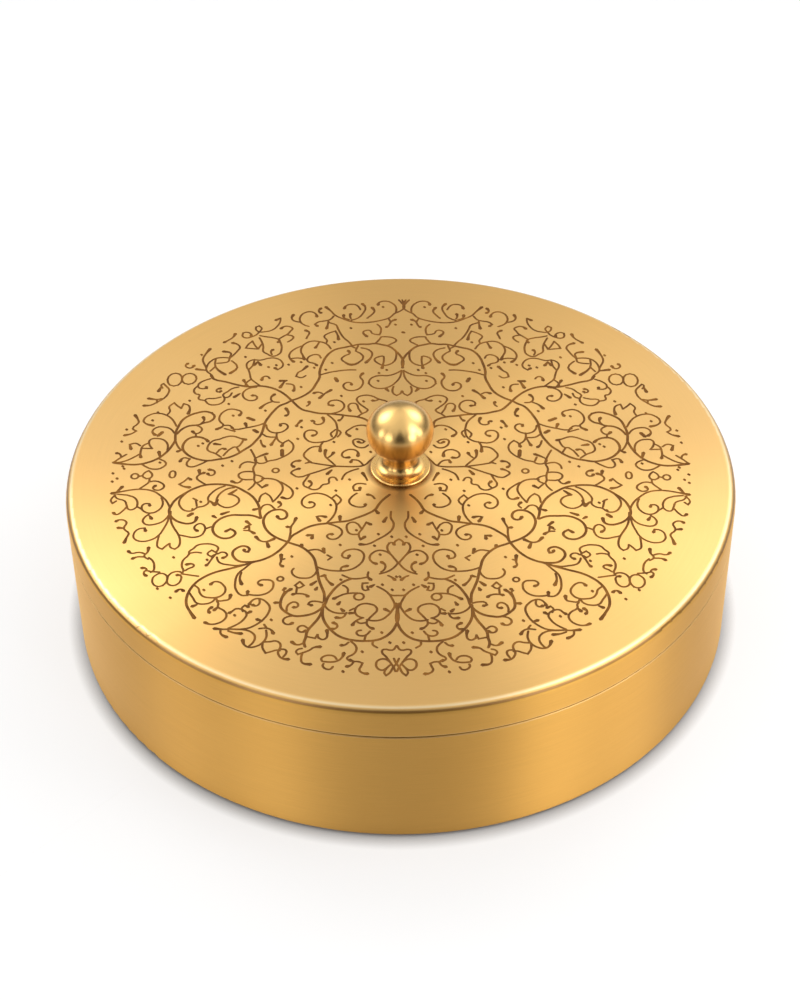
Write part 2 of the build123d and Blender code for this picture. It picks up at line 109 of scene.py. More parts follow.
FINE = """
-.6,86.2 -.1,84.5 .2,82.8 .1,81.1; 1.7,86.2 .9,84.8 .3,83.6; .1,81.1 1.5,79.7 3,78.6 4.5,76.4 7.5,74.8
11,73.8 14.5,73.6 17.4,74.3 19.9,75.8 22.3,77.6 23.8,79.9 25.6,82.2*; 2.6,78.8 2.5,81.7 3.6,84.1 6,85.5
8.1,84.8 8.5,83.4*; 10.4,81.9* 9.6,79.9 10.7,77.6 11.9,76; 13.7,84* 12.6,82.1 13.3,78.8 14.8,76.2 17.1,74.8;
14.2,80.7 15.5,83.2 17.2,83.7 18.9,83 19.5,81.3*; 17.3,78.4* 17.5,77.2 17.1,75.6; 19.6,77.8* 19.4,76.2
17.7,75.2; 22.8,77.2 24,75.2 25.7,74.5 27.7,73.9 28.8,72.7 27.9,71.7*; 24.4,74.3 24.6,72.3 24.9,70.3*;
27.2,81.5* 27.8,79.8 27,78.9*; 28.3,76.8* 28.7,78.3 30.1,79.5 32.2,79.1 33.7,76.8 33.5,73.9 32.3,72.4
30.7,71.5; 36,77.9* 36.5,76 35.6,74.5 33.7,73.8; 41.6,74.9* 40.2,76 40.1,74.4 41,71.5 42.6,69.4 44.7,68.6
46.6,68.5 47.8,69.9 47.8,71.1 46.8,71.7 45.9,70.3 46.6,68.5; 39.7,70.3* 38.5,71.5 36.8,71.3 35.9,70.3
36.5,69 37.3,67.4 38.6,66.2 40.2,64.5; 37.7,66.9 36.1,66.5 35.4,65.8 36.1,64.1 37.1,63.1; 40.2,62.9*
39.8,64.1 41.5,65.2 44.8,66 46.3,66.5; 40.2,64.5 39.2,62 38.9,59.1 39.5,56.7 41.6,55.5 43.3,56.7 44.7,58
44.8,60.4 45.4,62.9 46.4,65.4; 41.6,59* 42.2,58 41.8,56.3; 40.5,49.4* 39.6,48.5 38.1,50.1 38.4,52.6
39.9,54.2 42,54.6 45.5,53.4 47.6,53.6 49.3,52.2 49.5,50.2 48.7,48.1 48.1,45.6 47.7,43.8 46.1,41.8 44.5,40.1;
8.5,72.7 7.4,71 7.3,68.5 7.7,67 10,67.7 10.8,69.3 12.2,69.3 13,68.4 11.7,66.1*; 7.1,65.9 5,65.9 2.9,65.1
2.2,63.8 3.5,62.4 4.9,61.3; 7.1,65.9 7.9,64 9,62.3; 16.3,61.1 17.5,63.2 19.1,65.3 20.3,67.8 21.2,70.3
21.9,72.3 24,73.5 24.6,73.9; 20.8,64.4* 21.2,66.9 22,69 24.1,67.8 25.5,66.1 24.5,64 24.7,62.5; 23.1,59.5
24.5,62 27,63.3 29.5,63.5 31.6,62 32.4,60.4 32.6,57.9 31.9,55.9 31.3,53.8*; 27,62.9 27.6,61.2 28.1,60*;
32,61.2 34.5,59.5 36.2,56.7 35.9,54.2 34.6,52.6*; 31.3,54 33.4,54.6 35.9,54.2; 26.1,54.6 26.9,56.2 28.8,56.2
30.4,54.2 30,52.6 28,51.7 27.2,50.7*; 30.3,50.3* 31.8,48.1 33,47 33.5,45 31.8,44.4 30.5,45.4; 13.4,60
11.4,59.3 9.9,57.5 10.1,55 11.7,52.2*; 15.1,58.3 13.2,56.6 12.6,55 13.5,52.9 16.2,51.1* 18.5,52.6 19.5,54.1
18.5,55.8 17,57 17.5,58.5*; 14.4,61.1 15.1,58.7; 15,59.7 16.5,60.8; 2.2,58.2 2.1,55.4 2.7,52.9 4.4,51.2
6.1,50.8 7.7,51.8 9,53.9 7.7,55.3 6.5,55.7; 6.1,55.5 6,53.6 6.2,51.2 6.5,49.3*; 14.8,48.4 17.3,48.4
20.6,47.8 23.1,47.1 25.9,45.8; 12.5,46.7* 13.3,44.9 12.4,42.9 12.6,40.4 14.1,38.3 16.6,37.9 18.2,39.2
18.4,40.8 17.4,41.9 16.2,41.7 15.9,40.8*; 2.6,75.3* 3.9,74.3 4.9,71.8 5.5,71.2*; 4.9,75.9 4.2,74; 31.7,69.4*
30.4,68.2 30.9,66.1 31.2,64.9; 22.9,26 20,26.9 18.3,28.4 17.9,30.7 19.2,32.6 21,33 22.7,32 22.7,30.5
21.3,30.3*; 3.9,30.9* 4.7,32.4 7.1,33.5 9.6,35.2 12.1,35.4 14,34 13.5,31.8 12.7,30.7 11.4,29.3 10.5,28
12.2,26.3 13.4,28.8 14,30.9 15,31.5 16.3,30.9 16.5,29.3 15.9,27.6*; 7.1,33.5 8.1,32.8 9.2,32.8*; 12.2,26.3
13.6,24.8; 18,25.2 18.6,23.5 19.3,22.9*; 22.9,25.8 20.5,22.7 19.7,19.8 19.6,17.4 20.2,14.9 21.9,13.2
24.4,12.4 26.9,12.3 28.7,13.5 29.6,15.7 29.1,17.6 27.4,18.2 25.9,17.4 26,16.1 27.1,15.5*; 19.8,18.6
18.5,17.2 19.4,14.9; 20,18.6 21,17.4 21.5,16.5 21,14.9; 9.8,19.8* 11.5,20.6 14,20.2 15.6,18.9 16.9,17
15.6,15.3*; 23.5,12.8 24.4,10.8 24.4,8*; 24.4,10.4 26.9,10 28.5,8.3 29.3,6.2 28.2,4.2 27,3 28.6,2.4;
22.8,8.7* 22.8,5.8 22,4.5 20.8,3 19.6,1.4; 20.3,7.5* 20.9,6.2 21.8,5.2; 7.7,5.6 9.2,3.7 10.8,1.6 12.5,1
16.7,.9 20,.9 22.5,-.3 25,-1.6 27.1,-2.6 30.4,-4 32.1,-2.9 32.7,-2 31.6,-.7 30.3,-.1*; 20,1.1 22.9,1.7
26.6,2.6 27.8,3; 30.3,3.6* 32,3.2 32.8,1.7 32,.7*; 9.9,11.1 11.1,9.9 13.2,10.1 14.5,12 14.3,13.6 12.4,13.8
11.1,12.8 11.8,12 13.1,12.7*; 12.9,5.8* 13.1,7.9 14.5,8.9 16.6,8.5 17.8,6.6 17.1,5.2 15.5,5.2*; 11.2,1.6
12.7,3.7 14.6,4.1 15,2.9*; 24.3,24.4* 23.9,22.3 25.1,21 26.8,21.5 26.8,22.5 27.6,22.7*; 30.8,22.9* 31.9,21.1
32.2,20.1*; 28.9,32.2* 28.7,31.1 29.5,30; 22.2,38.1* 24.1,36.3 25.7,34*; 24.9,36.3 26.2,37 27.6,36.5*;
21.1,44.2* 20.4,42.5*; .3,48.2 2,46.7 4.5,45.5 7.4,45.5 9.3,44.6 10.3,43.2 10.5,41.4 8.8,39.4 6.3,38.9
3.8,40 2.1,42 .7,44.9 .3,48.2; 2.7,40 3,38.4 2.7,36.4 1.7,35.4 .5,36.4 .1,37.7; 4.2,37.5 5,38.7*; 34,37.6*
33.8,39.3 34.4,40.8 36.4,41.2; 38.3,39.3* 37.2,42.1 36.4,42.9 38.5,42.7*; 41.8,43.9 42.6,45 43.8,44.8
44.3,43.1*; 39.8,35.9* 40.8,34.3 40.2,32.3 38.2,31.9; 40.2,32.3 42.3,31 43.9,28.9*; 35.9,28.9* 35,26
35.8,25.2*; 41.5,20.7 41,18.6 39.3,17 37.2,17 35.5,18.2 34.8,19.9 35.8,21.3 37.3,21.1 37.1,20.3*; 38,17
38,15 37.2,12.9 35.9,11.8; 38,15 38.9,12.5 39.5,11*; 38,14.8 40.9,15 42.3,16.2; 42.8,13.3 42.2,11.2
41.4,10.2*; 36.2,10.4* 35.7,12.1 34.3,13.3 32.9,11.6 32.7,9.1 33.7,7.1 35.6,5.3 37.7,4 39.8,3.4 41.2,2.4
43.1,2.6 44,4.2 43.1,5.3 40.4,6.9*; 40.4,3.6 41,5.5; 36,8.7* 35.8,5.9*; 45.5,8.8 44,5.1 43.5,2.6 44.2,-0
43.6,-3.1 43.6,-5.4 43.2,-6.7 45,-9.9; 48.6,66 50.5,65.2 51.8,66 51.8,67.9 50.7,68.3 49.3,67.5 49.1,66.2*;
46.6,68.5 47.4,67 48.6,66; 54.3,67.5* 54.9,65.6 56.6,63.7 57.6,62.8*; 45.4,62 46.4,59.4 47.3,60.8 48.5,63.5
49.8,61.6 50.4,59.8 46.7,59.3; 54.9,62.6* 53.1,61.7 52.3,60.1 52.9,58.4 54.2,55.9 55.2,54.4 55.5,52.7
57.2,52 59,51.8; 55.2,55.1 55,57.1 57.5,58*; 55.4,54.6 58.3,54.7 60.4,53.7 62.2,49.7 62,47.8 60.3,45.7
59.4,43.6; 54.5,53.1 52.4,49.7 54.5,46.6*; 59.6,53.9 59.3,49.7 56,45.9*; 59.5,49.9 60.9,47.7; 61.8,59.4*
63.1,56.4 63.7,53.5 62.9,51 62.2,49.3; 62.4,48.1 65.4,48.7*; 66.2,50.6* 67.1,49.3 68.5,49.7 68.9,50.8
68.3,51.6*; 47.2,53.8 47.6,50.6 48.7,48.5; 45,50.8* 46.1,52.6 47.2,50.8*; 45.7,39.5 47.8,39 49.5,37.2
49.7,35.2 48.3,33.1 46.6,32.7 45.2,33.7 45.6,35.1 46.8,35.3*; 48.2,39.7 49.4,41.8 50,43.2*; 47.7,43.4
49,41.8 49.2,40.1 51.8,40.5; 60.5,43.8 63.1,42.2 64.1,40.5 63.5,38.9 61.2,38.8 61.5,39.6*; 64.1,40.1
65.2,38.1 64.4,36 63.3,35.6 63.4,33.5 61.3,32.7; 51.3,39.5 53.2,38.8 54.5,37.3 55.9,35.6 55.3,33.9 55.7,31.9
57.6,30.6 59.9,30.8 61.3,32.7 60.9,33.5 58.6,33.7 56.5,34.4; 56.9,38.8* 57.9,38.4 58,37.3 57,36.9
56.7,37.5*; 50.7,36.2 52.4,34.4*; 53.2,36.6 54,34.6 55.3,34.1; o67.2,43.7,2.3,2.8; o71.7,43.3,2.3,3.3;
80.2,30.1* 78.1,30.3 76,32 74.1,34 73.1,36.4 73,38.1 74,39.8 75.1,41.2 75.7,40.6 75.1,38.9; 75.7,39.4
76.3,37.3*; 74.8,33.6 76.4,33.2 79.1,33.7*; 76.4,33.2 76.2,31.5; 66,26.1* 65.7,28.6 66.3,30.3 67.8,31.1
68.4,28.8 69.9,30.3 70.8,31.5 72.2,29.5 71.7,27.4 72.6,25.3; 61.2,24.5* 60.8,22.8 61.6,21.2; 62.9,20.4
61.3,19.1 61.3,17.5 62.8,16.4 64,17.5*; 62.8,16.4 62.7,15; 69.1,20 70.4,22.9 72.4,25.2 75.3,26.3 77.4,25.8
79.5,22.9 78.6,21.2 76.2,20.2*; 69.4,16.6 70.8,18.7 72.9,19.6 75.2,19.3 76.2,17.2 75.2,15.7*; 73.1,17.1*
74.3,15.3*; 68.8,13 67.7,10.1 66.6,8.4 67.7,7.8*; 70.8,8.4 70.9,10.9 72.2,13.2 74.4,14 76.3,13.6 76.7,11.7
75.5,9.2 78.8,9.3; 76.7,11.9 78.4,10.5 78.8,8.5 78.8,6.4 78.5,5*; 78.8,6.8 80.9,4.8 83.4,3.1 86.3,2.3;
79.2,10.5 80.8,11.7 82.5,11.1 81.9,8.9*; 83,6.4 85.1,4.3 86.3,2.8; 84.4,5 85.1,6.6 86.1,7*; 82.4,25.4*
81.3,23.3 80.9,21.6 82.4,18.8 81.2,17.6 82.5,16.3 84.6,15.5*; 72.9,4.3 70.6,2.3 71.9,0 73.2,-.5 75,-.3
76.4,.5 77.9,1.8; 73.3,7.7* 72.7,5.2; 50.1,25.3* 49.6,27 51.2,28.1 53.3,28.4 55.2,27 56.2,24.5 55.9,22.4
54.7,20.4 56.7,18.5*; 54.7,20.4 52.6,20.3 51,17.5 54.2,18.9; 41.9,21.7 43.5,20.7 46,19.7 47.7,19.2 51,18.5
52.2,19.2; 48,21.5* 47.5,19.7; 43.9,17.1* 45.2,18.2*; 45.4,23* 47.5,24.2*; 47.3,13.5* 48.9,14.1 51.4,15.2
53.5,14.8 55.4,13.7 57.3,12.9 58.7,10.1 58.5,8.4 56.1,6.9 54.2,5.1; 48.1,13.3 48.6,11.6 49.6,10.1 50.9,9.9
53.6,5.9; 49.9,9.9 48.8,7.6; 53.2,9* 54.4,9.2 55.7,7.2; 54.8,11.1 56.8,11.5*; 58.2,3.5 60.3,1.8 63.2,.6
64.4,1.8 63.6,4.3 65.6,4.8 66.5,3.1*; 43.7,2.4 46.2,3 47.9,1.8 48.3,.2; 12.6,-.1 14.7,-1.1 16.5,-2.6
17.4,-5.1; 11.3,-2* 10.3,-4.1 9.8,-5.5; 20.6,-.7 21.9,-2.6*; 18.8,-5.5 19.7,-4.1 21.1,-4.5 21.3,-6.9 23,-7.5
24,-9.2 25.5,-9.8 27.2,-9 28.8,-7.5 27.9,-4.6 27.1,-2.6; 27.2,-8.8 26.3,-7.1 27.1,-5.8*; 10.2,-7.2 12.7,-7
13.9,-8.3 13.5,-10.2 11.9,-10 11.9,-8.8*; 12.7,-11.3 14.4,-13.3 14.9,-15.4 13.6,-17 11.5,-17.6 10.3,-17.2
10.1,-16.3*; 7.4,-13.8 8.2,-12.5 9.6,-11.9*; 2.5,-19.5 2.5,-22.4 1.7,-24.5 1.9,-27 3.4,-29.4 6.3,-31.9
9.2,-33.9 11.3,-33.9*; 7.2,-18.7 6.2,-20.3*; 3.7,-22 4.6,-24.1*; 8.3,-25.3* 9.6,-24.3 10.8,-27.3 11.7,-29.4
11.1,-31.9 9.9,-30.6*; 11,-27.1 12.9,-24.4 14.8,-24.8 15.2,-27.3 14.1,-29.4 11.9,-29.6; 21.1,-24.6 19.5,-22
18.6,-18.7 18.9,-15.7 20.6,-13.3 23,-11.7 25.5,-11.5 27.8,-12.8 28.9,-15.1 28.1,-17.4 26.4,-18 25,-16.8
25.6,-15.5 26.6,-15.5*; 18.5,-16.6 17.3,-14.4 18.9,-12.1 20.2,-13.8; 17.4,-21.6* 17.3,-23.8; 21.5,-22*
23.2,-21.6 24.2,-21.9 23.2,-23.8*; 20.7,-25 18.3,-26.1 16.6,-28.1 17.1,-30.4 19.1,-31.8 20.8,-30.7
20.4,-29.6 19.3,-29.6*; 25.2,-31.4* 25,-29.9 26.6,-30.1*; 31.8,-32.2 31.5,-28.9 31.5,-26.5 30.7,-24.4
30.2,-22.5*; 31.5,-26.6 32.7,-26.4*; 25.9,-36.6 23.4,-36.2 21.3,-37.6 21.7,-35.7*; 20.5,-38.5 19.2,-39.5
20.2,-40.6; 27.7,-34.7 28.1,-34.1*; 23.5,-43.4 21,-44.6 17.7,-45.2 14,-44.8 11.4,-42.9 10,-40.1 10.2,-37.6
11.8,-36.2 14.2,-36.2 15.9,-37.4 16,-39.3 14.5,-39.9 14.1,-38.7*; 14.5,-43.1* 16.2,-43.8 16.4,-45; 0,-42
1.2,-39.9 2.5,-37.9 4,-36.8 5.8,-36.5 7.5,-37.6 8.3,-39.5 7.6,-41.4 6.3,-42.2*; 4.9,-41.4* 3.8,-42.6 4,-44.6
4.9,-45.6; 2.4,-37.9 3.1,-36.4 3.3,-34.7 2.8,-33.4 2,-33.1 1.3,-34*; 1.4,-33.6 1,-32.5 0,-31.6; -.1,-41.4
1.3,-43.8 3.2,-45.5 5.3,-46.4; 36.1,-31.6* 38.2,-32.8 39.9,-32.6 41.5,-30.7*; 38.2,-32.8 37.5,-35.2*;
42,-29.3* 43.5,-28.2 45.1,-28; 43.5,-28.2 43.7,-26.4 45.2,-27.2; 44.7,-24* 43.3,-25.5 44.8,-26.4;
33.7,-38.4* 33.6,-41.3 33.8,-42.5 33,-43.4*; 32.6,-40.2 33.6,-40.6; 41.3,-18.3 42.9,-18.9*; 40.9,-19
40.1,-17 38.4,-16.6 37.2,-17.8 36.4,-18.8; 41.5,-15.3 41,-12.4 39.8,-11.4 38.4,-12.8 37.4,-15.3 35.5,-12
34.8,-9.2 36.2,-6 38.7,-4.8 41.3,-4.8; 35.6,-6.3 33.7,-7.9 32,-10 31.8,-12.4 33,-13.9 34.9,-13.3*;
35.7,-15.3* 34.9,-16.6 35.7,-17.8; 39.6,-7.7* 41,-8.9 42.8,-6.7 41.6,-6 40.7,-4.6 42,-3.5 43.4,-3.1;
o37.4,-1,1,1; 42.1,-42 43.7,-44.1 45.5,-46.5 46.1,-50 45.6,-53.3 43.9,-55.4 42.3,-55.4 42.3,-53.7*;
43.8,-1.7 45.9,-1.5 47.8,-2.1 48.4,-3.3 47.3,-5 44.2,-5.2; 47.1,-5.2 48.4,-6.8 50.3,-6*; 62.1,-9.9
64.2,-12.7 65.1,-15.2 64.5,-17.7 62.9,-19.4 61,-19.4 59.5,-17.9 57.7,-17.3 56.4,-15.8 56.7,-13.6 55.9,-11.6
54.2,-9.5 52.1,-8.2; 59.8,-14.8 61.1,-13.8; 60.3,-14.2 59.7,-17.3; 50.8,-11.8 48.5,-12.8 47.4,-14.7
48.1,-16.5 50.3,-17.9 52.2,-17.5 53.9,-15.6 53.9,-13.2 52.6,-10.7 50.9,-9.3 49.2,-8.9; 48.5,-9.9
50.4,-11.9*; 53.7,-14.4 54.5,-16.7* 56,-15; 57.8,-7.6 59.5,-6.2 60.8,-4.5 60,-2.9 58.7,-2.1*; 60,-2.9
60.4,-.8*; 57.5,-.6* 55.8,-1.3 55.8,-2.9 57,-3.3 57.7,-2.5*; 62.5,-8.9* 64.5,-8.4 65.8,-7.4 64.5,-6.2
63.3,-4.5 62.5,-5.3*; o68.2,-2.9,.9,1.6; 67.6,-18.1 68.8,-15.2 70.8,-12.7 73.3,-10.6 76.2,-9.8 79.4,-10
82.4,-10.8 85.5,-11.7*; 70.5,-13.6 69.8,-16.5 70.9,-19.3 73,-20.5 75.1,-19.7 75.9,-18 75.3,-16.4 73.8,-16.3
73.6,-17.2*; 75.9,-18.7 77.3,-17.6 78.4,-18.9 79.6,-18.9 80.4,-17.2 81.2,-15.1 83.7,-13.9 84.6,-12.3;
77.3,-17.4 77.5,-15.2 79.1,-13.1 83.6,-12.1; 80.5,-18 81.7,-20.1 83,-21.2 84,-20.4*; 82.6,-8.6* 84,-11.1;
83.7,-15.1 84.7,-16.2 85.4,-14.7 84.2,-12.3; 73.4,-21 74.7,-22.6 74.9,-24.3 73.7,-25.6 71,-25.3 68.9,-23.9
67.4,-21; 72.5,-23* 73.2,-21.7; 73.7,-28.4* 74.1,-27.1 75.8,-27.5 77,-29.6 76.5,-31.9 74.4,-32.9 71.9,-32.3
69.8,-30.4 68.6,-27.5 67.7,-24.3 67.4,-19.7; 67.2,-19.7 67,-22.2 66.4,-25.1 65.3,-27.5 64,-30 63.3,-32.5
63.5,-35 64.5,-36.2 65.8,-35.4 66.2,-33.8 67,-34.6 68.1,-36.2 69.5,-35.3 69.8,-33.4 69.6,-30.4; 64,-30
61.9,-30.6 59.9,-31.1 57.6,-30.4 56.6,-28.5 56.5,-26.8 57.8,-25.1 59.2,-25.7 59.6,-27.2 58.6,-28.3*;
54,-26.4 55,-26.6 56.2,-27.3; 60.7,-20.6* 61.9,-21.7*; 50,-19.8 52.2,-20.9*; 53.6,-22.5 54.6,-21.7*;
82.8,-24.2* 81.8,-23.5 80.3,-23.8 79.6,-24.9 80.1,-26.6 80,-27.6 78.5,-29.4 78.9,-31.1 79.4,-33.5*;
80.1,-27.2 81.9,-27*; 75.5,-1.2 74.3,-2.9 74.6,-4.5 75.8,-4.9 77,-3.9 76.6,-2.2 75.5,-1.2;
o79.4,-3.8,1.1,1.2; 77,-3.5 78.3,-3.9; 74.9,-4.9 74.9,-6.4 76.1,-8.1 77.3,-9.4; 74.6,-6.3 73.1,-6 71.2,-6.8
70.2,-8.3 70.7,-9.6 72.2,-10.2 73.4,-9.3 72.8,-8.1*; 52.5,-37.5 52,-35.6 53.6,-34.2 56.1,-33.9 58.1,-34.5
59.1,-35.9 60.2,-37.1 60.2,-38.4 61.7,-41 61.8,-43.5 61.2,-45.4 61.6,-46.6; 60.2,-38 58.2,-37.5 56.7,-37.8;
52.5,-37.5 53.8,-36.6 54.9,-38.1 53.8,-39.3 52.8,-38.5; 52,-38.2 50.7,-37.4 49.3,-38.2 49.4,-39.2
50.4,-39.9*; 52.1,-39.5 51.7,-41 50.8,-42.1 48.3,-42.8 46.3,-43.1 44.3,-42.7; 52.2,-37.8 53.4,-40 54.3,-42.2
54.9,-43.1*; 60.6,-42.7* 58.8,-42.5 58.4,-43.4 59.8,-44.4 60.7,-45.3; 72.1,-35.5* 72.2,-37.5 73,-39.2
71.7,-40.5; 72.7,-38.3 74.6,-37.6 76.8,-38 77.8,-37.1*; 73,-39.5 75.1,-39.6 76.3,-40.3*; 71.6,-39.8
70.3,-41.3 69.7,-43.4 69.8,-45.4 70.5,-46.1; 73.2,-44.2* 72,-44.4 71.7,-45.4; .9,-48.9* 1.8,-47.8 2.9,-47.1;
8.5,-45.6 8.6,-47.6 7.7,-48.9*; 8.8,-47.8 11.1,-48.4 13.2,-48.4 14.8,-47.6 15.9,-46.9; 8.5,-50.2 10,-50.3
10.1,-51.7 9.5,-53.2 8.3,-53 8.7,-51.5; 6.7,-50.9 7.8,-51.8*; 5.9,-51.6 4.2,-52.8 2.6,-54.5 1.4,-57 .8,-59.5
1.5,-61.4 2.9,-63.7 4.7,-65.2 6.9,-65.5 8.5,-65.1; -.2,-55.3 1.8,-55.2 2.8,-54.4; 2.1,-61.9 3.6,-60.8*;
9.4,-64.4 10.5,-64 11.6,-62.8 11.8,-61.1 11.1,-59.6 9.6,-58.7 7.8,-58.8 6.2,-59.7 5.7,-61.3 6.7,-63
7.8,-64.6 8.5,-66.4 7.7,-68 6.6,-68.7*; 9.7,-64.4 10.6,-64.9 11.8,-66 12.4,-67.3*; 8.7,-66.3 10.4,-66.5
11.4,-65.6; 11.9,-62.5 13.4,-62.5*; 12.1,-60.6 13.3,-61.4; o10.9,-55.8,1.4,1.4; 11.2,-54.4 13.2,-54.4
15.2,-54.9 16.7,-55.8 18,-56.7*; 14.1,-54 14.1,-52.8 14.9,-51.6 15.6,-51.2; 16.1,-57.9 16.7,-59*; 15,-61.7*
15.8,-60.7; 14.2,-62.3 15.3,-64.3 17.1,-64.3*; 14.8,-62.6 16.8,-62.5 18.6,-61.7 20,-60.2 20.6,-58.9;
17.8,-66.3* 16.6,-67.3 16.9,-68.5 18.2,-68.9*; 20.8,-47.1* 22,-47.5; 18.5,-51* 19.6,-49.8 20.5,-48.1
20.7,-47.1; 23.1,-49.5 24.6,-51*; 22.8,-52 23.2,-53*; 21,-58.3 22.7,-57.8 24.5,-58 25,-59 24,-59.4*;
32.6,-58.3 34.4,-58.4*; 30.1,-52.8* 31.6,-54.1 32.4,-53.2 31.8,-52.5*; 30.9,-61.8 30.9,-60.1 30.1,-58.6
28.8,-58.1 27.9,-58.9 28.1,-60.1 29.1,-60.2*; 28.6,-63.6 30.7,-64.1 31.7,-65.3 31.3,-66.6 30.1,-67.1
29,-66.5*; 24.8,-68.5 25.9,-67.6 27.2,-68 27.4,-69.4 26.4,-70.1 25.1,-69.5*; 19.4,-69.3* 19.2,-71.1
19.5,-72.5 20.5,-73 21.6,-72.3 21.9,-71.1 22.5,-72.5 24.8,-71.9; 25.5,-74.4 27.4,-75.1 28.9,-73.9*;
20.9,-75.8* 22.7,-76.1 23.9,-77.2 25.7,-78.2 26.9,-78.8 27.5,-77.7 26.9,-76.8 25.9,-76.5; 25.7,-78.2
26,-80.1 25.5,-82.1 23.3,-82.6*; 6.6,-73.9 6.6,-74.9 5.3,-76.1; .1,-75.3 1.1,-77 3.6,-76.8 4,-77.8 2.9,-79.5
1.8,-81.5 .9,-83.2 .2,-85.2; -.7,-80.2 -0,-82.2 .9,-83.7 1.7,-85.7 2.7,-86.7 3.2,-85.7 2.4,-83.7 1.4,-82.4;
1.8,-81.5 3.1,-80.5 4.8,-80.8 5.5,-82.2 5,-84.1 3.7,-84.7 2.5,-83.8; 7.4,-69.6 8.6,-71.2 9.9,-71.5
11.1,-70.7 10.9,-69.6 9.9,-69.3; 8.6,-71.3 8.9,-73; 12.6,-73.7 11.3,-75.3 11,-76.9 11.7,-78.5 13,-79.5
13.5,-80.2 12.4,-81.4; 13.2,-74 14.3,-75.1 15.3,-75.2*; 14.4,-78.2* 14.8,-79.8 16,-81.2 18,-81.7 19.8,-81.5;
20.1,-81.5 20.5,-80.5 19.8,-79.5 18.3,-79.1 16.9,-79.6 16.3,-80.6; 17.2,-83.4 17.9,-84.4 19.1,-84.3 20,-83.1
19.8,-82.3; 7.7,-86.1* 9.1,-85.8 10,-84.6 9.6,-83.3 9.2,-82.1 10.4,-81.5 11.6,-81.4 12.8,-80.8*; 11.6,-81.5
12.4,-82.9 13.5,-83.4*; 46.2,-69 41.7,-68.8 39.2,-67.3 37.2,-65.1 35.9,-62.3 35.7,-60.2 36.6,-58.4 38.2,-57
39.8,-56.8 41.1,-58 41.5,-59.2*; 38.8,-57 38.7,-58.7 39.6,-59.7 40.6,-59.3*; 41.7,-60.1* 42.7,-59.5
43.5,-60.6 43.1,-62; 40.9,-62* 42.1,-62.9; 46.7,-68.7 44.2,-67 42.6,-65 42,-62.9 43.1,-61.4 45.1,-60.9
46.1,-61.9 46.9,-62.6*; 37.5,-65.8 39,-65.1*; 36.9,-67.1 36.2,-68.3; 34.1,-70.7* 34.9,-69.2 36.2,-68.6
38.2,-68.8; 36.2,-69.4 36,-70.7 36,-72.2 36.8,-74.2 38.5,-75.7 40.5,-76.1 41.8,-75.2 42.4,-73.2*; 44.7,-69.1
41.7,-69.4 39.7,-70.7 39.1,-72.2 39.5,-74.2 40.6,-75.8; 42.9,-70.8* 45.2,-70.4 46.7,-69.7; 36.8,-74.2
36.8,-76.2 35.8,-78.3 34.4,-77.8 32.9,-77.2 31.9,-77.4; 36.8,-74 34.8,-73.9 33.4,-73.6 32.1,-74.5 31.9,-76.2
32.4,-77.6 32.2,-79 31.1,-80.4 29.4,-80.7*; 31.8,-76.8 30.5,-77 30.1,-77.9 30.9,-79.8; 27.8,-49.7 29.1,-51.3
28,-52.3 26.6,-51.3 27.8,-49.7; 25.2,-55.8* 26.1,-55 28.6,-54.7 29.6,-55*; 28.5,-52.1 28.6,-54.2;
o33.4,-48.6,.9,.9; 22.9,-44.6 24.5,-47.7 27,-48.3 29.3,-47.5 30.3,-45.5 29.8,-44.2; 38.5,-51.3* 39.6,-50.5
39.2,-49.4 37.5,-49 35.7,-49.5 35.2,-51.4 35.8,-53.4 37.5,-54.9 39.8,-55.4 42,-55.1; 44.6,-46 44.9,-48.5
44.2,-50.9*; 53,-51* 52.2,-50 50.9,-49.9 49.4,-51.2 48.6,-53.2 49.2,-55.1 50.8,-56.3 53,-56.4 54.7,-55.9
55.8,-54.4 56.3,-52.6 57.7,-51.3; 58.8,-54.3 57.4,-56.8 56.3,-58.6 54,-59 52,-58.1 51.2,-56.8; 56.2,-59.3
57.5,-60*; 47,-55.2* 47.4,-57.1 48.5,-57.5 50.5,-57.6 51,-56.5; 50.7,-57.8 50.2,-58.8 50.2,-60.2 48.5,-61.6
47.6,-63.3 48.1,-65.3 49.9,-66.8 51.9,-67.1 53.4,-66.4*; 50.2,-60.2 51.2,-61.5*; 51.9,-60.3* 52.8,-61.4
52.4,-62.5*; 46.2,-69 48.2,-69.1 50.6,-68.8*; 48.8,-69.4 48.6,-70.9 46.9,-72.2*; 62.9,-47.1* 61.8,-47.4
61.6,-49.2 62.3,-50.8 63.6,-51.5 65.1,-50.8 65.5,-49.2 65.2,-47.3 64.1,-46 62.4,-45.7 61.5,-46.2; 61.6,-46.6
58.8,-47.2 56.7,-47.6; 68.1,-46.5 66.7,-46.6 65.6,-47.9 65.6,-49.9 66.5,-51.5 67.8,-51.9 69.2,-51 69.7,-49.1
69.3,-47.7 68.1,-46.5; 67.9,-45.9 70.5,-45.7 72,-45.4 72.4,-46.4 71.6,-47.5*; 60.4,-53.7* 61.4,-53
62.6,-54*;
"""
